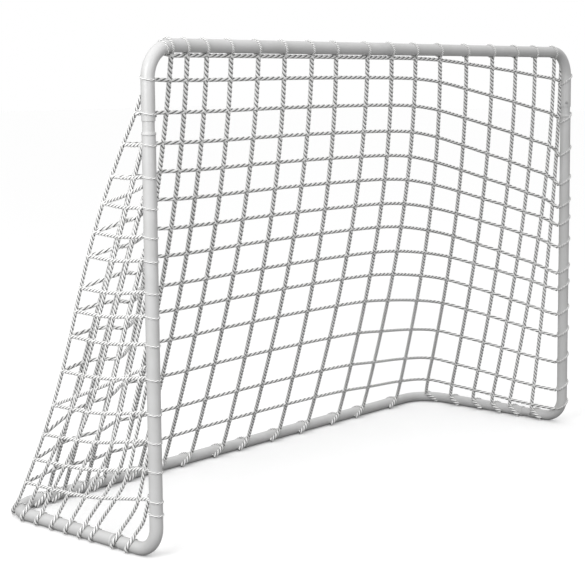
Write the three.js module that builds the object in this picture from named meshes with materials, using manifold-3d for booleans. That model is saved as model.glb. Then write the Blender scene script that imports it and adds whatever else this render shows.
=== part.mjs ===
// Garden soccer goal: a frame of six bent steel tubes that plug together, with a net tied to it.
// Millimetres, +Z up. +X is to the right seen from the front, and the open mouth faces -Y.
// The origin is on the ground, under the middle of the frame.

import * as THREE from 'three';
import Module from 'manifold-3d';
import { mergeVertices } from 'three/addons/utils/BufferGeometryUtils.js';

const wasm = await Module();
wasm.setup();

// Frame, measured between the tubes' centrelines
const frameWidth = 1768;
const frameHeight = 1168;
const frameDepth = 568;

// Tube
const tubeRadius = 16;
const tubeWall = 1.5;
const tubeSides = 24;
const topBend = 75;
const footBend = 62;
const rearBend = 95;
const bendSteps = 6;

// Plug joint: the swaged neck of one tube slides into the plain end of the next
const neckRadius = 14.1;
const neckWall = 1.5;
const neckOverlap = 47;
const shoulderRadius = 15.3;
const shoulderDepth = 3;
const shoulderLip = 0.6;
const clearance = 0.3;
const collarRadius = 17;
const collarLength = 7;
const sleeveRadius = 16.7;
const sleeveLength = 84;
const openNeck = 25;

// Snap button and its spring clip, placed from the end of the outer tube
const buttonInset = 12;
const buttonRadius = 4;
const buttonHoleRadius = 4.4;
const buttonReach = 3;
const buttonSides = 16;
const flangeRadius = 5.4;
const flangeTop = 11;
const flangeThickness = 1.5;
const clipWidth = 8;
const clipThickness = 0.8;
const clipFoot = 11.6;
const clipOverhang = 7;
const clipLeg = 15;

// Where the joints are
const postShoulderZ = 982;
const railShoulderY = -130;
const barShoulderX = -24;
const rearShoulderX = 4;

// Net
const netThickness = 3;
const netGap = 20;
const netRearGap = 24;
const netEdgeTopZ = 1060;
const netEdgeFootY = 236;

const postX = frameWidth / 2;
const frontY = -frameDepth / 2;
const rearY = frameDepth / 2;
const groundZ = tubeRadius;
const barZ = groundZ + frameHeight;

const up = new THREE.Vector3(0, 0, 1);
const right = new THREE.Vector3(1, 0, 0);
const forward = new THREE.Vector3(0, -1, 0);
const left = right.clone().negate();
const down = up.clone().negate();

const whitePaint = { color: 0xf0f0f0, roughness: 0.35, metalness: 0.0 };
const palePlastic = { color: 0xdcdcdc, roughness: 0.5, metalness: 0.0 };
const darkPlastic = { color: 0x3a3a3c, roughness: 0.45, metalness: 0.0 };
const springSteel = { color: 0xb8bcc0, roughness: 0.3, metalness: 0.9 };
const netCord = { color: 0xe8e8e6, roughness: 0.9, metalness: 0.0 };

function solidOf(geometry) {
  const bare = geometry.clone();
  bare.deleteAttribute('normal');
  bare.deleteAttribute('uv');
  const merged = mergeVertices(bare, 1e-4);
  return new wasm.Manifold(new wasm.Mesh({
    numProp: 3,
    vertProperties: new Float32Array(merged.attributes.position.array),
    triVerts: new Uint32Array(merged.index.array),
  }));
}

function geometryOf(solid) {
  const mesh = solid.getMesh();
  const geometry = new THREE.BufferGeometry();
  geometry.setAttribute('position', new THREE.BufferAttribute(mesh.vertProperties, 3));
  geometry.setIndex(new THREE.BufferAttribute(mesh.triVerts, 1));
  geometry.computeVertexNormals();
  return geometry;
}

function named(name, geometry, finish) {
  const mesh = new THREE.Mesh(geometry, new THREE.MeshStandardMaterial(finish));
  mesh.name = name;
  return mesh;
}

// Corners of a polygon whose flats lie at the given radius, with a flat facing straight down
function flatRing(radius, sides) {
  const cornerRadius = radius / Math.cos(Math.PI / sides);
  const corners = [];
  for (let i = 0; i < sides; i += 1) {
    const angle = ((i + 0.5) * 2 * Math.PI) / sides;
    corners.push(new THREE.Vector2(cornerRadius * Math.cos(angle), cornerRadius * Math.sin(angle)));
  }
  return corners;
}

// A turned piece about +Z. The profile is [radius, z] pairs and the radii are to the flats.
function turned(profile, sides) {
  const toCorner = 1 / Math.cos(Math.PI / sides);
  const points = profile.map(([radius, z]) => new THREE.Vector2(radius * toCorner, z));
  const geometry = new THREE.LatheGeometry(points, sides, Math.PI / sides);
  geometry.rotateX(Math.PI / 2);
  return geometry;
}

// Two straights with one round bend between them, with sections only where the tube needs them
class BentLine extends THREE.Curve {
  constructor(start, corner, end, radius) {
    super();
    const before = corner.clone().sub(start).normalize();
    const after = end.clone().sub(corner).normalize();
    const center = corner.clone().addScaledVector(before, -radius).addScaledVector(after, radius);
    this.stations = [{ point: start, tangent: before }];
    for (let i = 0; i <= bendSteps; i += 1) {
      const turn = ((Math.PI / 2) * i) / bendSteps;
      const outward = before.clone().multiplyScalar(Math.sin(turn)).addScaledVector(after, -Math.cos(turn));
      const tangent = before.clone().multiplyScalar(Math.cos(turn)).addScaledVector(after, Math.sin(turn));
      this.stations.push({ point: center.clone().addScaledVector(outward, radius), tangent });
    }
    this.stations.push({ point: end, tangent: after });
  }

  get steps() {
    return this.stations.length - 1;
  }

  getUtoTmapping(u) {
    return u;
  }

  getPoint(t, target = new THREE.Vector3()) {
    return target.copy(this.stations[Math.round(t * this.steps)].point);
  }

  getTangent(t, target = new THREE.Vector3()) {
    return target.copy(this.stations[Math.round(t * this.steps)].tangent);
  }
}

function bentTube(start, corner, end, radius) {
  const section = new THREE.Shape(flatRing(tubeRadius, tubeSides));
  section.holes.push(new THREE.Path(flatRing(tubeRadius - tubeWall, tubeSides)));
  const line = new BentLine(start, corner, end, radius);
  return solidOf(new THREE.ExtrudeGeometry(section, { steps: line.steps, extrudePath: line }));
}

// A joint's own frame: +Z runs along the neck from its shoulder, and +X points out of the button
function makeJoint(name, shoulder, along, out, cover = {}) {
  const { length = collarLength, radius = collarRadius, open = openNeck } = cover;
  const side = new THREE.Vector3().crossVectors(along, out);
  const matrix = new THREE.Matrix4().makeBasis(out, side, along).setPosition(shoulder);
  const socket = shoulderLip + clearance + length + Math.max(open, clearance);
  const socketEnd = shoulder.clone().addScaledVector(along, socket);
  return { name, matrix, socket, socketEnd, shoulder, collar: { length, radius } };
}

const buttonTilt = Math.PI / 4;
const leftButtonOut = right.clone().applyAxisAngle(up, -buttonTilt);
const rightButtonOut = left.clone().applyAxisAngle(up, buttonTilt);
const sleeve = { length: sleeveLength, radius: sleeveRadius, open: 0 };

const leftPost = makeJoint(
  'left_post', new THREE.Vector3(-postX, frontY, postShoulderZ), up, leftButtonOut);
const rightPost = makeJoint(
  'right_post', new THREE.Vector3(postX, frontY, postShoulderZ), up, rightButtonOut);
const leftRail = makeJoint(
  'left_rail', new THREE.Vector3(-postX, railShoulderY, groundZ), forward, right);
const rightRail = makeJoint(
  'right_rail', new THREE.Vector3(postX, railShoulderY, groundZ), forward, left);
const crossbar = makeJoint(
  'crossbar', new THREE.Vector3(barShoulderX, frontY, barZ), left, down, sleeve);
const rearBar = makeJoint(
  'rear_bar', new THREE.Vector3(rearShoulderX, rearY, groundZ), left, up, { open: 0 });
const joints = [leftPost, rightPost, leftRail, rightRail, crossbar, rearBar];

// The hole for the button through one wall, wide enough to pass the button but not its flange
function buttonHole(joint) {
  const hole = new THREE.CylinderGeometry(buttonHoleRadius, buttonHoleRadius, tubeRadius, buttonSides);
  hole.rotateZ(Math.PI / 2);
  hole.translate(tubeRadius, 0, joint.socket + buttonInset);
  return solidOf(hole.applyMatrix4(joint.matrix));
}

function withNeck(tube, joint) {
  const bore = neckRadius - neckWall;
  const tip = joint.socket + neckOverlap;
  const neck = turned([
    [bore, -shoulderDepth],
    [shoulderRadius, -shoulderDepth],
    [shoulderRadius, shoulderLip],
    [neckRadius, shoulderLip],
    [neckRadius, tip],
    [bore, tip],
    [bore, -shoulderDepth],
  ], tubeSides);
  return tube.add(solidOf(neck.applyMatrix4(joint.matrix))).subtract(buttonHole(joint));
}

function withSocket(tube, joint) {
  return tube.subtract(buttonHole(joint));
}

// Collar on the neck. The ones on the ground tubes are flat underneath, level with the tubes.
function collarSolid(joint) {
  const { length, radius } = joint.collar;
  const bore = neckRadius + clearance;
  const rim = 0.8;
  const ring = turned([
    [bore, 0],
    [radius - rim, 0],
    [radius, rim],
    [radius, length - rim],
    [radius - rim, length],
    [bore, length],
    [bore, 0],
  ], tubeSides);
  ring.translate(0, 0, shoulderLip + clearance);
  const collar = solidOf(ring.applyMatrix4(joint.matrix));
  const ground = new THREE.BoxGeometry(4 * postX, 4 * rearY, tubeRadius);
  ground.translate(0, 0, -tubeRadius / 2);
  return collar.subtract(solidOf(ground));
}

// Domed button with a flange that stops it inside the neck, pointing out along +X of the joint
function buttonGeometry(joint) {
  const top = tubeRadius + buttonReach;
  const dome = 1.6;
  const button = turned([
    [0, flangeTop - flangeThickness],
    [flangeRadius, flangeTop - flangeThickness],
    [flangeRadius, flangeTop],
    [buttonRadius, flangeTop],
    [buttonRadius, top - dome],
    [buttonRadius * 0.86, top - dome * 0.45],
    [buttonRadius * 0.5, top - dome * 0.1],
    [0, top],
  ], buttonSides);
  button.rotateY(Math.PI / 2);
  button.translate(0, 0, joint.socket + buttonInset);
  return button;
}

// Spring clip: a steel strip bent into a U, one leg under the button and one on the far wall
function clipGeometry(joint) {
  const near = flangeTop - flangeThickness - clearance;
  const radius = (near + clipFoot) / 2;
  const middle = (near - clipFoot) / 2;
  const innerRadius = radius - clipThickness;
  const legEnd = joint.socket + buttonInset - clipOverhang;
  const bendStart = joint.socket + buttonInset + clipLeg;
  const quarter = Math.PI / 2;
  const strip = new THREE.Shape();
  strip.moveTo(legEnd, middle - radius);
  strip.lineTo(bendStart, middle - radius);
  strip.absarc(bendStart, middle, radius, -quarter, quarter, false);
  strip.lineTo(legEnd, middle + radius);
  strip.lineTo(legEnd, middle + innerRadius);
  strip.lineTo(bendStart, middle + innerRadius);
  strip.absarc(bendStart, middle, innerRadius, quarter, -quarter, true);
  strip.lineTo(legEnd, middle - innerRadius);
  strip.closePath();
  const clip = new THREE.ExtrudeGeometry(strip, {
    depth: clipWidth, bevelEnabled: false, curveSegments: 6, steps: 1,
  });
  clip.translate(0, 0, -clipWidth / 2);
  clip.rotateX(quarter);
  clip.rotateY(-quarter);
  clip.scale(-1, -1, 1);
  return clip;
}

function jointPieces(joint) {
  const group = new THREE.Group();
  group.applyMatrix4(joint.matrix);
  group.add(named(`${joint.name}_snap_button`, buttonGeometry(joint), darkPlastic));
  group.add(named(`${joint.name}_button_spring`, clipGeometry(joint), springSteel));
  return group;
}

// Net panels: the back slopes from the crossbar to the rear bar, and the sides stand over the rails
function netBack() {
  const slope = Math.atan2(frameHeight, frameDepth);
  const length = Math.hypot(frameHeight, frameDepth);
  const halfWidth = postX - netGap;
  const cut = 62;
  const outline = new THREE.Shape();
  outline.moveTo(-halfWidth, netRearGap);
  outline.lineTo(halfWidth, netRearGap);
  outline.lineTo(halfWidth, length - netGap - cut);
  outline.lineTo(halfWidth - cut, length - netGap);
  outline.lineTo(-halfWidth + cut, length - netGap);
  outline.lineTo(-halfWidth, length - netGap - cut);
  outline.closePath();
  const panel = new THREE.ExtrudeGeometry(outline, { depth: netThickness, bevelEnabled: false });
  panel.translate(0, 0, -netThickness / 2);
  const mesh = named('net_back', panel, netCord);
  mesh.rotation.x = Math.PI - slope;
  mesh.position.set(0, rearY, groundZ);
  return mesh;
}

function netSide(name, x) {
  const front = frontY + netGap;
  const bottom = groundZ + netGap;
  const outline = new THREE.Shape();
  outline.moveTo(frontY + footBend, bottom);
  outline.lineTo(netEdgeFootY, bottom);
  outline.lineTo(front, netEdgeTopZ);
  outline.lineTo(front, groundZ + footBend);
  outline.closePath();
  const panel = new THREE.ExtrudeGeometry(outline, { depth: netThickness, bevelEnabled: false });
  panel.translate(0, 0, -netThickness / 2);
  const mesh = named(name, panel, netCord);
  const group = new THREE.Group();
  group.rotation.set(Math.PI / 2, 0, Math.PI / 2, 'ZYX');
  group.position.x = x;
  group.add(mesh);
  return group;
}

const topLeft = new THREE.Vector3(-postX, frontY, barZ);
const topRight = new THREE.Vector3(postX, frontY, barZ);
const footLeft = new THREE.Vector3(-postX, frontY, groundZ);
const footRight = new THREE.Vector3(postX, frontY, groundZ);
const rearLeft = new THREE.Vector3(-postX, rearY, groundZ);
const rearRight = new THREE.Vector3(postX, rearY, groundZ);

const topLeftTube = withSocket(
  withSocket(bentTube(leftPost.socketEnd, topLeft, crossbar.socketEnd, topBend), leftPost), crossbar);
const topRightTube = withNeck(
  withSocket(bentTube(rightPost.socketEnd, topRight, crossbar.shoulder, topBend), rightPost), crossbar);
const postLeftTube = withNeck(
  withSocket(bentTube(leftRail.socketEnd, footLeft, leftPost.shoulder, footBend), leftRail), leftPost);
const postRightTube = withNeck(
  withSocket(bentTube(rightRail.socketEnd, footRight, rightPost.shoulder, footBend), rightRail), rightPost);
const groundLeftTube = withSocket(
  withNeck(bentTube(leftRail.shoulder, rearLeft, rearBar.socketEnd, rearBend), leftRail), rearBar);
const groundRightTube = withNeck(
  withNeck(bentTube(rightRail.shoulder, rearRight, rearBar.shoulder, rearBend), rightRail), rearBar);

const goal = new THREE.Group();
goal.add(named('top_left_tube', geometryOf(topLeftTube), whitePaint));
goal.add(named('top_right_tube', geometryOf(topRightTube), whitePaint));
goal.add(named('post_left_tube', geometryOf(postLeftTube), whitePaint));
goal.add(named('post_right_tube', geometryOf(postRightTube), whitePaint));
goal.add(named('ground_left_tube', geometryOf(groundLeftTube), whitePaint));
goal.add(named('ground_right_tube', geometryOf(groundRightTube), whitePaint));
for (const joint of joints) {
  goal.add(named(`${joint.name}_collar`, geometryOf(collarSolid(joint)), palePlastic));
  goal.add(jointPieces(joint));
}
goal.add(netBack());
goal.add(netSide('net_side_left', -postX));
goal.add(netSide('net_side_right', postX));

export default goal;
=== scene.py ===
from math import cos, pi, radians, sin

import bmesh
import bpy
import numpy as np
from mathutils import Matrix, Vector


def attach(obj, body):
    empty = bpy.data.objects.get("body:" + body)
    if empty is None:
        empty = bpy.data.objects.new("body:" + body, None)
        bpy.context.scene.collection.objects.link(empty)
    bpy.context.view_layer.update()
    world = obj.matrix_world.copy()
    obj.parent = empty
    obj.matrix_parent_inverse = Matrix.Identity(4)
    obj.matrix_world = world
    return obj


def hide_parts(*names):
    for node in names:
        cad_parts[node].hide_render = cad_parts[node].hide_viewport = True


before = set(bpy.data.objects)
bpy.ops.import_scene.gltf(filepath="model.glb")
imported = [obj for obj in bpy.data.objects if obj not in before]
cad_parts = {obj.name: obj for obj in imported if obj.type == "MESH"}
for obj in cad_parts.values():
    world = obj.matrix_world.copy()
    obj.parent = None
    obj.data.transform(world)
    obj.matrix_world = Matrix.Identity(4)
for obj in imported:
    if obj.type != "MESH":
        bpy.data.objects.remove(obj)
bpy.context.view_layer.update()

mm = 0.001

# main sizes of the goal, millimetres
goal = {
    "postX": 884, "mouthY": -284, "rearY": 284, "barZ": 1184, "railZ": 16,
    "tube": 16.0, "bore": 14.5, "neck": 14.1, "sides": 48,
    "topBend": 75, "footBend": 62, "rearBend": 95,
    "holeRadius": 4.4, "holeMiddle": 17, "holeDepth": 18,
}


def newGroup(name, inputs, outputs):
    group = bpy.data.node_groups.new(name, "ShaderNodeTree")
    for label, kind, value in inputs:
        socket = group.interface.new_socket(label, in_out="INPUT", socket_type=kind)
        socket.default_value = value
    for label, kind in outputs:
        group.interface.new_socket(label, in_out="OUTPUT", socket_type=kind)
    return group


def addNode(tree, kind, place, **settings):
    node = tree.nodes.new(kind)
    node.location = place
    for key, value in settings.items():
        setattr(node, key, value)
    return node


def mottleGroup():
    # fine surface grain and faint larger unevenness in tone and gloss, from Object coordinates
    group = newGroup(
        "surfaceMottle",
        [("Light", "NodeSocketColor", (0.8, 0.8, 0.8, 1)), ("Dark", "NodeSocketColor", (0.6, 0.6, 0.6, 1)),
         ("Grain Scale", "NodeSocketFloat", 900.0), ("Patch Scale", "NodeSocketFloat", 14.0),
         ("Roughness Low", "NodeSocketFloat", 0.3), ("Roughness High", "NodeSocketFloat", 0.5)],
        [("Color", "NodeSocketColor"), ("Roughness", "NodeSocketFloat"), ("Height", "NodeSocketFloat")],
    )
    inside = addNode(group, "NodeGroupInput", (-800, 0))
    out = addNode(group, "NodeGroupOutput", (600, 0))
    coords = addNode(group, "ShaderNodeTexCoord", (-800, -300))
    grain = addNode(group, "ShaderNodeTexNoise", (-500, -300))
    grain.inputs["Detail"].default_value = 2.0
    patch = addNode(group, "ShaderNodeTexNoise", (-500, 0))
    patch.inputs["Detail"].default_value = 5.0
    patch.inputs["Roughness"].default_value = 0.6
    spread = addNode(group, "ShaderNodeMapRange", (-250, 0))
    spread.inputs["From Min"].default_value = 0.35
    spread.inputs["From Max"].default_value = 0.7
    mix = addNode(group, "ShaderNodeMix", (100, 150), data_type="RGBA")
    rough = addNode(group, "ShaderNodeMapRange", (100, -150))
    link = group.links.new
    link(coords.outputs["Object"], grain.inputs["Vector"])
    link(coords.outputs["Object"], patch.inputs["Vector"])
    link(inside.outputs["Grain Scale"], grain.inputs["Scale"])
    link(inside.outputs["Patch Scale"], patch.inputs["Scale"])
    link(patch.outputs["Fac"], spread.inputs["Value"])
    link(spread.outputs["Result"], mix.inputs["Factor"])
    link(inside.outputs["Light"], mix.inputs["A"])
    link(inside.outputs["Dark"], mix.inputs["B"])
    link(patch.outputs["Fac"], rough.inputs["Value"])
    link(inside.outputs["Roughness Low"], rough.inputs["To Min"])
    link(inside.outputs["Roughness High"], rough.inputs["To Max"])
    link(mix.outputs["Result"], out.inputs["Color"])
    link(rough.outputs["Result"], out.inputs["Roughness"])
    link(grain.outputs["Fac"], out.inputs["Height"])
    return group


def lacquer(name, mottle, finish):
    # a material around the shared mottle group: paint, plastic or steel
    made = bpy.data.materials.new(name)
    made.use_nodes = True
    tree = made.node_tree
    shader = tree.nodes["Principled BSDF"]
    effect = addNode(tree, "ShaderNodeGroup", (-500, 100), node_tree=mottle)
    for label in ("Light", "Dark"):
        effect.inputs[label].default_value = (*finish[label], 1)
    for label in ("Grain Scale", "Patch Scale", "Roughness Low", "Roughness High"):
        effect.inputs[label].default_value = finish[label]
    bump = addNode(tree, "ShaderNodeBump", (-250, -250))
    bump.inputs["Strength"].default_value = finish["bump"]
    bump.inputs["Distance"].default_value = finish["depth"]
    tree.links.new(effect.outputs["Color"], shader.inputs["Base Color"])
    tree.links.new(effect.outputs["Roughness"], shader.inputs["Roughness"])
    tree.links.new(effect.outputs["Height"], bump.inputs["Height"])
    tree.links.new(bump.outputs["Normal"], shader.inputs["Normal"])
    shader.inputs["Metallic"].default_value = finish.get("metal", 0.0)
    shader.inputs["Coat Weight"].default_value = finish.get("coat", 0.0)
    shader.inputs["Coat Roughness"].default_value = 0.25
    return made


def cordMaterial(name, finish):
    # three-strand cord: light on the strands, painted shade in the grooves between them where the strands
    # would shade each other, fine fibre along it
    made = bpy.data.materials.new(name)
    made.use_nodes = True
    tree = made.node_tree
    shader = tree.nodes["Principled BSDF"]
    grooveShade = addNode(tree, "ShaderNodeAttribute", (-900, 200), attribute_name="grooveShade")
    coords = addNode(tree, "ShaderNodeTexCoord", (-1100, -150))
    fibre = addNode(tree, "ShaderNodeTexNoise", (-900, -150))
    fibre.inputs["Scale"].default_value = finish["fibreScale"]
    fibre.inputs["Detail"].default_value = 3.0
    soil = addNode(tree, "ShaderNodeTexNoise", (-900, -400))
    soil.inputs["Scale"].default_value = 9.0
    soil.inputs["Detail"].default_value = 4.0
    # how strongly the painted groove shade darkens the cord, from the marked groove points
    depth = addNode(tree, "ShaderNodeMapRange", (-700, 200))
    depth.inputs["From Min"].default_value = 0.08
    depth.inputs["From Max"].default_value = 0.7
    depth.inputs["To Max"].default_value = finish["grooveShadeAmount"]
    toGrooveShade = addNode(tree, "ShaderNodeMix", (-450, 200), data_type="RGBA")
    toGrooveShade.inputs["A"].default_value = (*finish["strand"], 1)
    toGrooveShade.inputs["B"].default_value = (*finish["grooveShade"], 1)
    toSoil = addNode(tree, "ShaderNodeMix", (-250, 100), data_type="RGBA", blend_type="MULTIPLY")
    toSoil.inputs["B"].default_value = (*finish["soil"], 1)
    soilRange = addNode(tree, "ShaderNodeMapRange", (-650, -400))
    soilRange.inputs["From Min"].default_value = 0.4
    soilRange.inputs["From Max"].default_value = 0.75
    soilRange.inputs["To Max"].default_value = 0.6
    bump = addNode(tree, "ShaderNodeBump", (-250, -250))
    bump.inputs["Strength"].default_value = 0.35
    bump.inputs["Distance"].default_value = 0.0006
    rough = addNode(tree, "ShaderNodeMapRange", (-450, -100))
    rough.inputs["To Min"].default_value = 0.55
    rough.inputs["To Max"].default_value = 0.8
    link = tree.links.new
    link(coords.outputs["Object"], fibre.inputs["Vector"])
    link(coords.outputs["Object"], soil.inputs["Vector"])
    link(grooveShade.outputs["Fac"], depth.inputs["Value"])
    link(depth.outputs["Result"], toGrooveShade.inputs["Factor"])
    link(toGrooveShade.outputs["Result"], toSoil.inputs["A"])
    link(soil.outputs["Fac"], soilRange.inputs["Value"])
    link(soilRange.outputs["Result"], toSoil.inputs["Factor"])
    link(toSoil.outputs["Result"], shader.inputs["Base Color"])
    link(fibre.outputs["Fac"], rough.inputs["Value"])
    link(rough.outputs["Result"], shader.inputs["Roughness"])
    link(fibre.outputs["Fac"], bump.inputs["Height"])
    link(bump.outputs["Normal"], shader.inputs["Normal"])
    shader.inputs["Sheen Weight"].default_value = 0.15
    return made


mottle = mottleGroup()
paint = lacquer("whitePowderCoat", mottle, {
    "Light": (0.6, 0.6, 0.6), "Dark": (0.54, 0.54, 0.535), "Grain Scale": 1100.0, "Patch Scale": 11.0,
    "Roughness Low": 0.3, "Roughness High": 0.46, "bump": 0.12, "depth": 0.0004, "coat": 0.25,
})
collarPlastic = lacquer("whiteCollarPlastic", mottle, {
    "Light": (0.63, 0.63, 0.63), "Dark": (0.57, 0.57, 0.565), "Grain Scale": 1500.0, "Patch Scale": 40.0,
    "Roughness Low": 0.4, "Roughness High": 0.55, "bump": 0.1, "depth": 0.0003,
})
buttonPlastic = lacquer("greyButtonPlastic", mottle, {
    "Light": (0.42, 0.42, 0.42), "Dark": (0.34, 0.34, 0.34), "Grain Scale": 1800.0, "Patch Scale": 90.0,
    "Roughness Low": 0.4, "Roughness High": 0.6, "bump": 0.15, "depth": 0.0003,
})
springSteel = lacquer("springSteel", mottle, {
    "Light": (0.62, 0.61, 0.6), "Dark": (0.42, 0.42, 0.43), "Grain Scale": 2400.0, "Patch Scale": 120.0,
    "Roughness Low": 0.25, "Roughness High": 0.42, "bump": 0.2, "depth": 0.0002, "metal": 1.0,
})
# the dark groove colour is painted shade for the creases between the strands, not a colour of the cord
cordWhite = cordMaterial("twistedCordWhite", {
    "strand": (0.93, 0.93, 0.925), "grooveShade": (0.06, 0.06, 0.06), "soil": (0.88, 0.88, 0.87),
    "grooveShadeAmount": 0.95, "fibreScale": 1400.0,
})
print("materials made")


def finishMesh(name, bm, material, body, standsFor, sharp=35):
    bmesh.ops.remove_doubles(bm, verts=bm.verts[:], dist=1e-6)
    bmesh.ops.recalc_face_normals(bm, faces=bm.faces[:])
    mesh = bpy.data.meshes.new(name)
    bm.to_mesh(mesh)
    bm.free()
    mesh.materials.append(material)
    mesh.shade_smooth()
    mesh.set_sharp_from_angle(angle=radians(sharp))
    made = bpy.data.objects.new(name, mesh)
    bpy.context.scene.collection.objects.link(made)
    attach(made, body)
    if standsFor:
        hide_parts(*standsFor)
    return made


def turned(direction):
    return Vector(direction).to_track_quat("Z", "Y").to_matrix().to_4x4()


def tubeRun(start, heading, moves):
    # a ring of edges is pushed along the tube: straight runs, changes of radius, and bends
    bm = bmesh.new()
    at = Vector(start) * mm
    way = Vector(heading).normalized()
    size = moves[0][1] * mm
    place = Matrix.Translation(at) @ turned(way)
    bmesh.ops.create_circle(bm, segments=goal["sides"], radius=size, matrix=place)
    ring = bm.edges[:]
    bmesh.ops.contextual_create(bm, geom=ring)
    for move in moves[1:]:
        kind = move[0]
        if kind in ("go", "step"):
            pushed = bmesh.ops.extrude_edge_only(bm, edges=ring)["geom"]
            verts = [g for g in pushed if isinstance(g, bmesh.types.BMVert)]
            ring = [g for g in pushed if isinstance(g, bmesh.types.BMEdge)]
            ends = set(verts)
            ring = [e for e in ring if e.verts[0] in ends and e.verts[1] in ends]
            bmesh.ops.translate(bm, verts=verts, vec=way * move[1] * mm)
            at = at + way * move[1] * mm
            if kind == "step":
                factor = move[2] * mm / size
                for vert in verts:
                    vert.co = at + (vert.co - at) * factor
                size = move[2] * mm
        elif kind == "bend":
            centre, axis, angle = Vector(move[1]) * mm, Vector(move[2]), radians(move[3])
            geom = ring + list({v for e in ring for v in e.verts})
            swung = bmesh.ops.spin(bm, geom=geom, cent=centre, axis=axis, angle=angle, steps=18,
                                   use_merge=False, use_duplicate=False)
            ring = [g for g in swung["geom_last"] if isinstance(g, bmesh.types.BMEdge)]
            turn = Matrix.Rotation(angle, 3, axis)
            way = turn @ way
            at = centre + turn @ (at - centre)
    bmesh.ops.contextual_create(bm, geom=ring)
    return bm


def openEnd(first):
    # the bore and the rounded rim; first tells whether the run starts or ends here
    if first:
        return [("at", goal["bore"]), ("go", -60), ("step", -0.2, 15.0), ("step", 0.0, 15.7),
                ("step", 0.3, goal["tube"])]
    return [("step", 0.3, 15.7), ("step", 0.0, 15.0), ("step", -0.2, goal["bore"]), ("go", -60)]


def drill(made, holes):
    # button holes: each is a point on the tube's own line and the way the button faces
    cutter = bmesh.new()
    for point, facing in holes:
        middle = Vector(point) * mm + Vector(facing).normalized() * goal["holeMiddle"] * mm
        place = Matrix.Translation(middle) @ turned(facing)
        wide = goal["holeRadius"] * mm
        bmesh.ops.create_cone(cutter, cap_ends=True, segments=32, radius1=wide, radius2=wide,
                              depth=goal["holeDepth"] * mm, matrix=place)
    mesh = bpy.data.meshes.new("holeCutter")
    cutter.to_mesh(mesh)
    cutter.free()
    tool = bpy.data.objects.new("holeCutter", mesh)
    bpy.context.scene.collection.objects.link(tool)
    cut = made.modifiers.new("buttonHoles", "BOOLEAN")
    cut.object = tool
    cut.operation = "DIFFERENCE"
    cut.solver = "EXACT"
    bpy.context.view_layer.update()
    shape = bpy.data.meshes.new_from_object(made.evaluated_get(bpy.context.evaluated_depsgraph_get()))
    made.modifiers.clear()
    made.data = shape
    shape.set_sharp_from_angle(angle=radians(35))
    bpy.data.objects.remove(tool)


px, my, ry, bz, rz = goal["postX"], goal["mouthY"], goal["rearY"], goal["barZ"], goal["railZ"]
topBend, footBend, rearBend = goal["topBend"], goal["footBend"], goal["rearBend"]
full, neck = goal["tube"], goal["neck"]
mouthEnd, neckTip, shoulderZ = 1014.9, 1061.9, 982.0      # heights on the posts
railEnd, railTip, railShoulder = -162.9, -209.9, -130.0   # along the side rails
barEnd, barTip, barShoulder = -109.2, -156.2, -24.0       # along the crossbar
rearEnd, rearTip, rearShoulder = -4.2, -51.2, 4.0         # along the rear bar
postHole, railHole, barHole, rearHole = 1026.9, -174.9, -121.2, -16.2   # the button holes along each


def neckStart(toShoulder):
    # chamfered tip, the neck, then the swaged shoulder
    return [("at", neck - 1.0), ("step", 1.0, neck), ("go", 25), ("go", 20), ("go", toShoulder - 46.9),
            ("step", 0.9, full - 0.5), ("step", 0.4, full)]


def makeTubes():
    upRise = bz - topBend - mouthEnd
    down = shoulderZ - rz - footBend
    railRun = ry - rearBend - railShoulder - 0.4
    for side, name in ((-1, "left"), (1, "right")):
        moves = openEnd(True) + [("go", 22), ("go", upRise - 22 - 0.1)]
        bendAt = (side * (px - topBend), my, bz - topBend)
        moves += [("bend", bendAt, (0, -side, 0), 90)]
        if side < 0:
            moves += [("go", px - topBend + barEnd - 24.3), ("go", 24)] + openEnd(False)
        else:
            moves += [("go", px - topBend - barShoulder - 0.4), ("step", 0.4, full - 0.5),
                      ("step", 0.9, neck), ("go", -barTip + barShoulder - 46.9), ("go", 20), ("go", 25),
                      ("step", 1.0, neck - 1.0)]
        start = (side * px, my, mouthEnd + 60)
        bm = tubeRun(start, (0, 0, 1), moves)
        top = finishMesh(f"topTube_{name}", bm, paint, "frame", [f"top_{name}_tube"])
        inward = (-side, -1, 0)
        drill(top, [((side * px, my, postHole), inward), ((barHole, my, bz), (0, 0, -1))])

        moves = neckStart(neckTip - shoulderZ) + [("go", down - 0.4)]
        moves += [("bend", (side * px, my + footBend, rz + footBend), (1, 0, 0), 90)]
        moves += [("go", railEnd - my - footBend - 24.3), ("go", 24)] + openEnd(False)
        bm = tubeRun((side * px, my, neckTip), (0, 0, -1), moves)
        post = finishMesh(f"postTube_{name}", bm, paint, "frame", [f"post_{name}_tube"])
        drill(post, [((side * px, my, postHole), inward), ((side * px, railHole, rz), (-side, 0, 0))])

        moves = neckStart(railShoulder - railTip) + [("go", railRun)]
        moves += [("bend", (side * (px - rearBend), ry - rearBend, rz), (0, 0, side), 90)]
        if side < 0:
            moves += [("go", px - rearBend + rearEnd - 24.3), ("go", 24)] + openEnd(False)
        else:
            moves += [("go", px - rearBend - rearShoulder - 0.4), ("step", 0.4, full - 0.5),
                      ("step", 0.9, neck), ("go", rearShoulder - rearTip - 46.9), ("go", 20), ("go", 25),
                      ("step", 1.0, neck - 1.0)]
        bm = tubeRun((side * px, railTip, rz), (0, 1, 0), moves)
        rail = finishMesh(f"groundTube_{name}", bm, paint, "frame", [f"ground_{name}_tube"])
        drill(rail, [((side * px, railHole, rz), (-side, 0, 0)), ((rearHole, ry, rz), (0, 0, 1))])
    print("six tubes made")


makeTubes()


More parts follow.
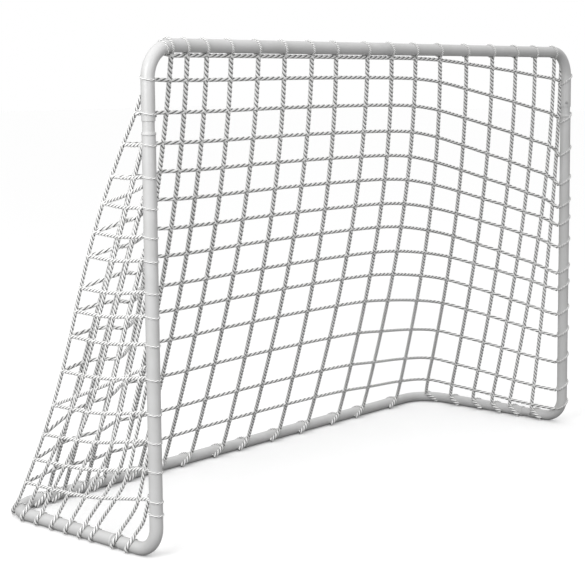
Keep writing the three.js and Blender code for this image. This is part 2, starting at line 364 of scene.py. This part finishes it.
def lathe(profile, centre, facing, segments, closed=True):
    # profile holds (radius, distance along the axis) in millimetres
    bm = bmesh.new()
    verts = [bm.verts.new((r * mm, 0, h * mm)) for r, h in profile]
    edges = [bm.edges.new(pair) for pair in zip(verts, verts[1:])]
    if closed:
        edges.append(bm.edges.new((verts[-1], verts[0])))
    bmesh.ops.spin(bm, geom=verts + edges, cent=(0, 0, 0), axis=(0, 0, 1), angle=2 * pi, steps=segments,
                   use_merge=True, use_duplicate=False)
    bmesh.ops.remove_doubles(bm, verts=bm.verts[:], dist=1e-6)
    place = Matrix.Translation(Vector(centre) * mm) @ turned(facing)
    bmesh.ops.transform(bm, matrix=place, verts=bm.verts[:])
    return bm


joints = {
    "left_post": {"collar": (-px, my, 982.9), "along": (0, 0, 1), "long": 7.0, "wide": 17.0,
                  "button": (-px, my, postHole), "facing": (1, -1, 0)},
    "right_post": {"collar": (px, my, 982.9), "along": (0, 0, 1), "long": 7.0, "wide": 17.0,
                   "button": (px, my, postHole), "facing": (-1, -1, 0)},
    "left_rail": {"collar": (-px, -130.9, rz), "along": (0, -1, 0), "long": 7.0, "wide": 17.0,
                  "button": (-px, railHole, rz), "facing": (1, 0, 0)},
    "right_rail": {"collar": (px, -130.9, rz), "along": (0, -1, 0), "long": 7.0, "wide": 17.0,
                   "button": (px, railHole, rz), "facing": (-1, 0, 0)},
    "crossbar": {"collar": (-24.9, my, bz), "along": (-1, 0, 0), "long": 84.0, "wide": 16.7,
                 "button": (barHole, my, bz), "facing": (0, 0, -1)},
    "rear_bar": {"collar": (3.1, ry, rz), "along": (-1, 0, 0), "long": 7.0, "wide": 17.0,
                 "button": (rearHole, ry, rz), "facing": (0, 0, 1)},
}


def makeJoints():
    for name, joint in joints.items():
        wide, long = joint["wide"], joint["long"]
        ring = [(14.3, 0.0), (wide - 0.7, 0.0), (wide - 0.2, 0.2), (wide, 0.7), (wide, long - 0.7),
                (wide - 0.2, long - 0.2), (wide - 0.7, long), (14.3, long)]
        bm = lathe(ring, joint["collar"], joint["along"], 64)
        if joint["collar"][2] == rz:
            # the collars on the ground tubes are cut flat where they would pass below the ground
            geom = bm.verts[:] + bm.edges[:] + bm.faces[:]
            cut = bmesh.ops.bisect_plane(bm, geom=geom, plane_co=(0, 0, 0), plane_no=(0, 0, -1),
                                         clear_outer=True)
            rim = [g for g in cut["geom_cut"] if isinstance(g, bmesh.types.BMEdge)]
            bmesh.ops.contextual_create(bm, geom=rim)
        finishMesh(f"collar_{name}", bm, collarPlastic, "frame", [f"{name}_collar"])
        pin = [(0.0, 8.6), (5.4, 8.6), (5.4, 9.8), (4.0, 10.1), (4.0, 17.2), (3.8, 18.0), (3.2, 18.6),
               (2.2, 18.9), (1.0, 19.0), (0.0, 19.0)]
        bm = lathe(pin, joint["button"], joint["facing"], 32, closed=False)
        finishMesh(f"button_{name}", bm, buttonPlastic, f"{name}_button",
                   [f"{name}_snap_button"], sharp=50)
        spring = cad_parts[f"{name}_button_spring"]
        spring.data.materials.clear()
        spring.data.materials.append(springSteel)
    print("collars, buttons and springs done")


makeJoints()


# the net, millimetres: tops and feet are where the columns are tied, x along the bars or y along the rails;
# rows and knots are heights; lays are one turn of the strands and cords are radii
net = {
    "barTops": [-810, -760, -697, -616, -522, -428, -326, -232, -104, -2, 104, 217, 344, 475, 598, 705,
                814],
    "rearFeet": [-760, -704, -628, -566, -513, -437, -343, -237, -106, 0, 141, 274, 424, 548, 728],
    "railFeet": [146, 53, -24, -94, -180],
    "postTops": [957, 839, 720],
    "postBack": -262, "barUnder": 1167, "rearInner": 266, "railInner": 866, "footZ": 36,
    "lastTop": (874, -272, 1166), "cornerFoot": (850, 238, 36),
    "leftBend": (-838, -263, 1172), "rightBend": (880, -263, 1172), "secondRow": (-876, -263, 1109),
    "leftCorner": (-870, 239), "leftSwing": -0.55, "rightCorner": (865, 246), "rightSwing": 0.64,
    "leftDrift": -12, "rightDrift": 36,
    "rowLevel": [1162, 1106, 1032, 960, 891, 821, 747, 675, 595, 521, 434, 325, 211, 113],
    "rowRight": [1083, 963, 860, 768, 696, 639, 570, 486, 433, 353, 283, 198, 107, 45],
    "rowLeft": [1178, 1109, 1032, 961, 886, 752, 694, 615, 557, 494, 404, 235, 165, 99],
    "edgeKnots": [1032, 961, 886, 822, 752, 694, 615, 557, 494, 404, 314, 235, 165, 99],
    "postLoops": [1032, 962, 889, 819, 753, 699, 626, 571, 506, 427, 346, 280, 212, 141],
    "leftFeet": [185, 128, 70, 15, -37, -79, -158, -208],
    "tiedBack": [(822, 867), (314, 452)],
    "sideSway": 26, "bowLeft": 43, "bowRight": 31, "step": 3.3,
    "columnLay": 36.0, "rowLay": 60.0, "sideLay": 34.0, "lashLay": 18.0,
    "columnCord": 6.2, "rowCord": 5.1, "sideCord": 5.0, "loopCord": 2.1, "lashCord": 3.0, "bite": 1.2,
    "edgeTop": 1070, "edgeFoot": 32, "edgeStart": -264, "edgeRun": 503, "edgeWave": 22,
}


def around(centre, axis, front, angles, drift, radius, count=16):
    # points winding round a tube: angle 0 is towards front, drift is the travel along the axis
    axis, front = Vector(axis).normalized(), Vector(front).normalized()
    side = axis.cross(front)
    points = []
    for i in range(count + 1):
        t = i / count
        a = radians(angles[0] + (angles[1] - angles[0]) * t)
        along = drift(t) if callable(drift) else drift[0] + (drift[1] - drift[0]) * t
        points.append(Vector(centre) + axis * along + (front * cos(a) + side * sin(a)) * radius)
    return points


def edgeAt(z):
    # the cord where the back meets the left side, slightly slack, at height z
    t = (net["edgeTop"] - z) / (net["edgeTop"] - net["edgeFoot"])
    return Vector((-px, net["edgeStart"] + net["edgeRun"] * t + net["edgeWave"] * sin(2 * pi * t), z))


columnTops = [Vector((-px, net["postBack"], z)) for z in net["postTops"]]
columnTops += [Vector((x, my, net["barUnder"])) for x in net["barTops"]]
columnTops.append(Vector(net["lastTop"]))
columnFeet = [Vector((x, net["rearInner"], net["footZ"])) for x in net["rearFeet"]]
columnFeet.append(Vector(net["cornerFoot"]))
columnFeet += [Vector((net["railInner"], y, net["footZ"])) for y in net["railFeet"]]
columnCount = len(columnTops)
rowCount = len(net["rowLevel"])
firstOnBar = len(net["postTops"])
atCorner = len(net["rearFeet"])


def columnAt(c, z):
    # a point of column c at height z: it hangs down first and sweeps back lower down
    top, foot = columnTops[c], columnFeet[c]
    t = (top.z - z) / (top.z - foot.z)
    fade = min(1, max(0, c - 2) / 1.5) * min(1, (columnCount - c) / 2.2)
    deep = net["bowLeft"] + (net["bowRight"] - net["bowLeft"]) * min(1, max(0, (c - 12) / 4))
    bow = deep * 4 * t * (1 - t) * (1 - 0.25 * (2 * t - 1)) * fade
    return top.lerp(foot, t) + Vector((0, -bow, 0))


def rowHeight(r, c):
    # rows rise from the left edge, run level along the back, then fall towards the right post
    place = c + 1
    level, left, right = net["rowLevel"][r], net["rowLeft"][r], net["rowRight"][r]
    share = r / (rowCount - 1)
    begin = 14.9 - 0.8 * min(1, share * 3) - 1.2 * max(0.0, (share - 0.6) / 0.4) ** 1.2
    s = (place - begin) / (22 - begin)
    s = min(1.0, 0.5 * (s + (s * s + 0.012) ** 0.5))
    fall = 1 - (1 - s) ** (1.1 + 0.25 * min(1, share * 3))
    rise = min(1, place / 4)
    rise = rise * (1.7 - 0.7 * rise)
    arch = (4 + 9 * share) * max(0.0, 1 - ((place - 11.6) / 5) ** 2) if r else 0
    return left + (level - left) * rise + arch - (level - right) * fall


def knotTable():
    table = {}
    for r in range(rowCount):
        for c in range(columnCount):
            z = rowHeight(r, c)
            if z < columnTops[c].z - 1:
                table[r, c] = columnAt(c, z)
    return table


def smoothPath(points, step):
    # a smooth line through the points, cut into equal steps
    p = np.array([list(q) for q in points], float)
    p = np.vstack([2 * p[0] - p[1], p, 2 * p[-1] - p[-2]])
    fine = []
    for i in range(1, len(p) - 2):
        t = np.linspace(0, 1, 24, endpoint=False)[:, None]
        a, b, c, d = p[i - 1], p[i], p[i + 1], p[i + 2]
        reach = np.linalg.norm(c - b)
        m1 = (c - a) / max(np.linalg.norm(c - a), 1e-6) * reach
        m2 = (d - b) / max(np.linalg.norm(d - b), 1e-6) * reach
        fine.append(b * (1 + 2 * t) * (1 - t) ** 2 + m1 * t * (1 - t) ** 2
                    + c * t * t * (3 - 2 * t) - m2 * t * t * (1 - t))
    fine = np.vstack(fine + [p[-2][None, :]])
    walked = np.concatenate([[0], np.cumsum(np.linalg.norm(np.diff(fine, axis=0), axis=1))])
    stops = np.linspace(0, walked[-1], max(3, int(walked[-1] / step) + 1))
    return np.column_stack([np.interp(stops, walked, fine[:, k]) for k in range(3)]), walked[-1]


def strandProfile():
    # cross-section of the cord: three strands, each with two points on its crown, and the grooves between
    curve = bpy.data.curves.new("strandProfile", "CURVE")
    curve.dimensions = "2D"
    spline = curve.splines.new("POLY")
    spline.points.add(8)
    spline.use_cyclic_u = True
    for k in range(9):
        turn = radians((k // 3) * 120 + (-27, 27, 60)[k % 3])
        reach = (1.0, 1.0, 0.6)[k % 3]
        spline.points[k].co = (reach * cos(turn), reach * sin(turn), 0, 1)
    made = bpy.data.objects.new("strandProfile", curve)
    bpy.context.scene.collection.objects.link(made)
    return made


profile = strandProfile()
cordMetres = {}


def layCords(name, cords, lay, standsFor=()):
    # cords holds (points, radius), lay is the length of one turn of the strands
    curve = bpy.data.curves.new(name, "CURVE")
    curve.dimensions = "3D"
    curve.twist_mode = "MINIMUM"
    curve.bevel_mode = "OBJECT"
    curve.bevel_object = profile
    curve.use_fill_caps = True
    total = 0
    for number, (points, radius) in enumerate(cords):
        line, length = smoothPath(points, net["step"])
        total += length
        spline = curve.splines.new("POLY")
        spline.points.add(len(line) - 1)
        spline.use_smooth = True
        twist = 2 * pi * (length / (len(line) - 1)) / lay
        for i, spot in enumerate(line):
            point = spline.points[i]
            point.co = (*(spot * mm), 1)
            point.radius = radius * mm
            point.tilt = (number * 0.7 - i * twist) % (2 * pi)
    source = bpy.data.objects.new(name + "Line", curve)
    bpy.context.scene.collection.objects.link(source)
    bpy.context.view_layer.update()
    mesh = bpy.data.meshes.new_from_object(source.evaluated_get(bpy.context.evaluated_depsgraph_get()))
    bpy.data.objects.remove(source)
    mesh.name = name
    # the third profile point of each strand lies in a groove and is marked to take the painted shade
    depth = mesh.attributes.new("grooveShade", "FLOAT", "POINT")
    marks = np.zeros(len(mesh.vertices), np.float32)
    marks[2::3] = 1.0
    depth.data.foreach_set("value", marks)
    mesh.materials.clear()
    mesh.materials.append(cordWhite)
    mesh.shade_smooth()
    made = bpy.data.objects.new(name, mesh)
    bpy.context.scene.collection.objects.link(made)
    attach(made, "frame")
    if standsFor:
        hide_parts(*standsFor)
    cordMetres[name] = round(total * mm, 2)
    print(name, "faces", len(mesh.polygons), "cord metres", cordMetres[name])


def barHitch(x, r):
    # up behind the crossbar, over the top to one side, and down across its front to the column
    lean = lambda t: -16 * sin(pi * t)
    return around((x, my, bz), (1, 0, 0), (0, 0, -1), (10, 352), lean, full + r - net["bite"], 26)


def rearHitch(x, r, thin):
    # over the inner face of the rear bar, tucked at the ground, and back up outside
    down = around((x, ry, rz), (1, 0, 0), (0, 0, 1), (46, 121), (0, -44), full + r - 1.6, 9)
    back = around((x, ry, rz), (1, 0, 0), (0, 0, 1), (-133, 38), (-36, -3), full + thin - net["bite"], 16)
    return down, back


def railHitch(x, y, r, thin, drift, swing=0.0):
    # the same round a side rail; swing turns it with the tube where the corner bends
    along, up = (sin(swing), -cos(swing), 0), (0, 0, 1)
    down = around((x, y, rz), along, up, (46, 121), (0, drift), full + r - 1.2, 9)
    back = around((x, y, rz), along, up, (-133, 38), (drift * 0.8, 0), full + thin - net["bite"], 16)
    return down, back


def postLoop(z, r):
    # a loop round the left post, from its back, across the front
    lift = lambda t: 40 * (t - 0.5) ** 2 - 4 + 2 * t
    return around((-px, my, z), (0, 0, 1), (0, -1, 0), (170, -170), lift, full + r - net["bite"], 24)


def postHitch(z, r):
    # once round the right post, climbing from the row's end to a high point and back down
    turn = 0.62
    lift = lambda t: 17 - 17 * cos(pi * t / turn) if t < turn else 17 + 17 * cos(pi * (t - turn) / (1 - turn))
    return around((px, my, z), (0, 0, 1), (0, -1, 0), (-135, 225), lift, full + r - net["bite"], 24)


def makeColumns(knots):
    col, lash = net["columnCord"], net["lashCord"]
    backCords, sideCords, hitches = [], [], []
    for c in range(columnCount):
        top, foot = columnTops[c], columnFeet[c]
        run = [knots[r, c] for r in range(rowCount) if (r, c) in knots]
        head = [top]
        if firstOnBar <= c < columnCount - 1:
            hitches.append((barHitch(top.x, lash), lash))
        elif c == columnCount - 1:
            head = [Vector(net["rightBend"]), top]
        if c < atCorner:
            down, back = rearHitch(foot.x, col, lash)
        elif c == atCorner:
            down, back = railHitch(*net["rightCorner"], col, lash, net["rightDrift"], net["rightSwing"])
        else:
            down, back = railHitch(px, foot.y, col, lash, net["rightDrift"])
        (backCords if c < atCorner else sideCords).append((head + run + down, col))
        hitches.append((back, lash))
    layCords("netBackColumns", backCords, net["columnLay"], ["net_back"])
    layCords("netRightColumns", sideCords, net["columnLay"], ["net_side_right"])
    return hitches


def makeRows(knots, hitches):
    row, lash = net["rowCord"], net["lashCord"]
    rows = []
    for r in range(rowCount):
        run = [knots[r, c] for c in range(columnCount) if (r, c) in knots]
        z = net["rowRight"][r]
        if r == 0:
            head = Vector(net["leftBend"])
        elif r == 1:
            head = Vector(net["secondRow"])
        else:
            head = edgeAt(net["rowLeft"][r])
        tail = Vector((px - 16, my + 14, z))
        rows.append(([head] + run + [tail], row))
        hitches.append((postHitch(z, lash), lash))
    layCords("netBackRows", rows, net["rowLay"])
    layCords("netHitches", hitches, net["lashLay"])


def makeLeftSide():
    small, loop = net["sideCord"], net["loopCord"]
    left = []
    edge = [Vector((-px, net["postBack"], 1072))] + [edgeAt(z) for z in net["edgeKnots"]] + [edgeAt(52)]
    down, back = railHitch(*net["leftCorner"], small, loop, net["leftDrift"], net["leftSwing"])
    left.append((edge + down, small))
    left.append((back, loop))
    for y in net["leftFeet"]:
        # these run beside the edge cord from the post to the rail, bowed a little towards the mouth
        top = Vector((-px, -263, (y + 264) * 2.06 + 36))
        foot = Vector((-px - 3, y - 4, 46))
        down, back = railHitch(-px, y, small, loop, net["leftDrift"])
        sway = Vector((0, -net["sideSway"] * min(1, (top - foot).length / 500), 0))
        line = [top, top.lerp(foot, 0.33) + sway, top.lerp(foot, 0.66) + sway * 1.8, foot]
        left.append((line + down, small))
        left.append((back, loop))
    for z, knotZ in zip(net["postLoops"], net["edgeKnots"]):
        far, near = edgeAt(knotZ), Vector((-px, -263, z))
        sag = 0.03 * (far - near).length
        middle = near.lerp(far, 0.5) + Vector((-2, 0, -sag))
        left.append(([far, middle, near + Vector((0, 3, -1))], small))
    for knotZ, z in net["tiedBack"]:
        far, near = edgeAt(knotZ), Vector((-px, -263, z))
        left.append(([far, near.lerp(far, 0.5) + Vector((0, 0, -3)), near], small))
    for z in [1109, 110] + net["postLoops"]:
        left.append((postLoop(z, loop), loop))
    tilt = radians(23)
    bendLoop = around((-838, my, 1178), (cos(tilt), 0, sin(tilt)), (0, -1, 0), (175, -165),
                      lambda t: 4 * t, full + loop - net["bite"], 24)
    left.append((bendLoop, loop))
    layCords("netLeftSide", left, net["sideLay"], ["net_side_left"])


knots = knotTable()
makeRows(knots, makeColumns(knots))
makeLeftSide()
bpy.data.objects.remove(profile)
print("cord in all, metres", round(sum(cordMetres.values()), 1))


studio = {
    "floorTone": 0.9, "floorGlow": 0.13, "bounceTone": 0.25, "skyHigh": 1.22, "skyLow": 0.42,
    "lamps": [("keyLight", (-3.3, -0.7, 1.9), 1.8, 58.0), ("fillLight", (-2.2, -4.6, 2.0), 2.6, 36.0)],
    "aim": (0, 0, 0.5),
}
view = {
    "spot": (-3.1288, -2.7378, 1.1076), "heading": -49.4048, "pitch": 90 - 6.5834, "roll": -0.33135,
    "lens": 90.369, "sensor": 36, "shift": (-0.06204, -0.07635),
}


def makeStudio():
    bm = bmesh.new()
    bmesh.ops.create_grid(bm, x_segments=1, y_segments=1, size=40)
    mesh = bpy.data.meshes.new("floor")
    bm.to_mesh(mesh)
    bm.free()
    floor = bpy.data.objects.new("floor", mesh)
    bpy.context.scene.collection.objects.link(floor)
    mesh.materials.append(bpy.data.materials.new("paleFloor"))
    mesh.materials[0].use_nodes = True
    shader = mesh.materials[0].node_tree.nodes["Principled BSDF"]
    shader.inputs["Base Color"].default_value = (*[studio["floorTone"]] * 3, 1)
    shader.inputs["Roughness"].default_value = 0.95
    shader.inputs["Specular IOR Level"].default_value = 0.0
    shader.inputs["Emission Color"].default_value = (1, 1, 1, 1)
    shader.inputs["Emission Strength"].default_value = studio["floorGlow"]
    tree = mesh.materials[0].node_tree
    dim = addNode(tree, "ShaderNodeBsdfDiffuse", (0, -300))
    dim.inputs["Color"].default_value = (*[studio["bounceTone"]] * 3, 1)
    seenBy = addNode(tree, "ShaderNodeLightPath", (0, 300))
    choose = addNode(tree, "ShaderNodeMixShader", (300, 0))
    tree.links.new(seenBy.outputs["Is Camera Ray"], choose.inputs["Fac"])
    tree.links.new(dim.outputs["BSDF"], choose.inputs[1])
    tree.links.new(shader.outputs["BSDF"], choose.inputs[2])
    tree.links.new(choose.outputs["Shader"], tree.nodes["Material Output"].inputs["Surface"])

    world = bpy.data.worlds.new("studioWorld")
    bpy.context.scene.world = world
    world.use_nodes = True
    tree = world.node_tree
    lit = tree.nodes["Background"]
    lit.inputs["Strength"].default_value = 1.0
    way = addNode(tree, "ShaderNodeTexCoord", (-900, 0))
    parts = addNode(tree, "ShaderNodeSeparateXYZ", (-700, 0))
    height = addNode(tree, "ShaderNodeMapRange", (-450, 0))
    height.inputs["To Min"].default_value = studio["skyLow"]
    height.inputs["To Max"].default_value = studio["skyHigh"]
    tree.links.new(way.outputs["Generated"], parts.inputs["Vector"])
    tree.links.new(parts.outputs["Z"], height.inputs["Value"])
    tree.links.new(height.outputs["Result"], lit.inputs["Color"])
    seen = addNode(tree, "ShaderNodeBackground", (0, -200))
    seen.inputs["Color"].default_value = (1, 1, 1, 1)
    seen.inputs["Strength"].default_value = 1.0
    path = addNode(tree, "ShaderNodeLightPath", (-200, 200))
    blend = addNode(tree, "ShaderNodeMixShader", (250, 0))
    out = tree.nodes["World Output"]
    tree.links.new(path.outputs["Is Camera Ray"], blend.inputs["Fac"])
    tree.links.new(lit.outputs["Background"], blend.inputs[1])
    tree.links.new(seen.outputs["Background"], blend.inputs[2])
    tree.links.new(blend.outputs["Shader"], out.inputs["Surface"])

    for name, place, size, power in studio["lamps"]:
        lamp = bpy.data.lights.new(name, "AREA")
        lamp.size = size
        lamp.energy = power
        made = bpy.data.objects.new(name, lamp)
        made.location = place
        made.rotation_euler = (Vector(studio["aim"]) - Vector(place)).to_track_quat("-Z", "Y").to_euler()
        bpy.context.scene.collection.objects.link(made)

    lens = bpy.data.cameras.new("camera")
    lens.lens = view["lens"]
    lens.sensor_width = view["sensor"]
    lens.shift_x, lens.shift_y = view["shift"]
    lens.clip_end = 200
    camera = bpy.data.objects.new("camera", lens)
    turn = Matrix.Rotation(radians(view["heading"]), 4, "Z")
    turn = turn @ Matrix.Rotation(radians(view["pitch"]), 4, "X")
    turn = turn @ Matrix.Rotation(radians(view["roll"]), 4, "Z")
    camera.matrix_world = Matrix.Translation(view["spot"]) @ turn
    bpy.context.scene.collection.objects.link(camera)
    bpy.context.scene.camera = camera
    bpy.context.scene.view_settings.view_transform = "Standard"
    print("studio ready")


makeStudio()
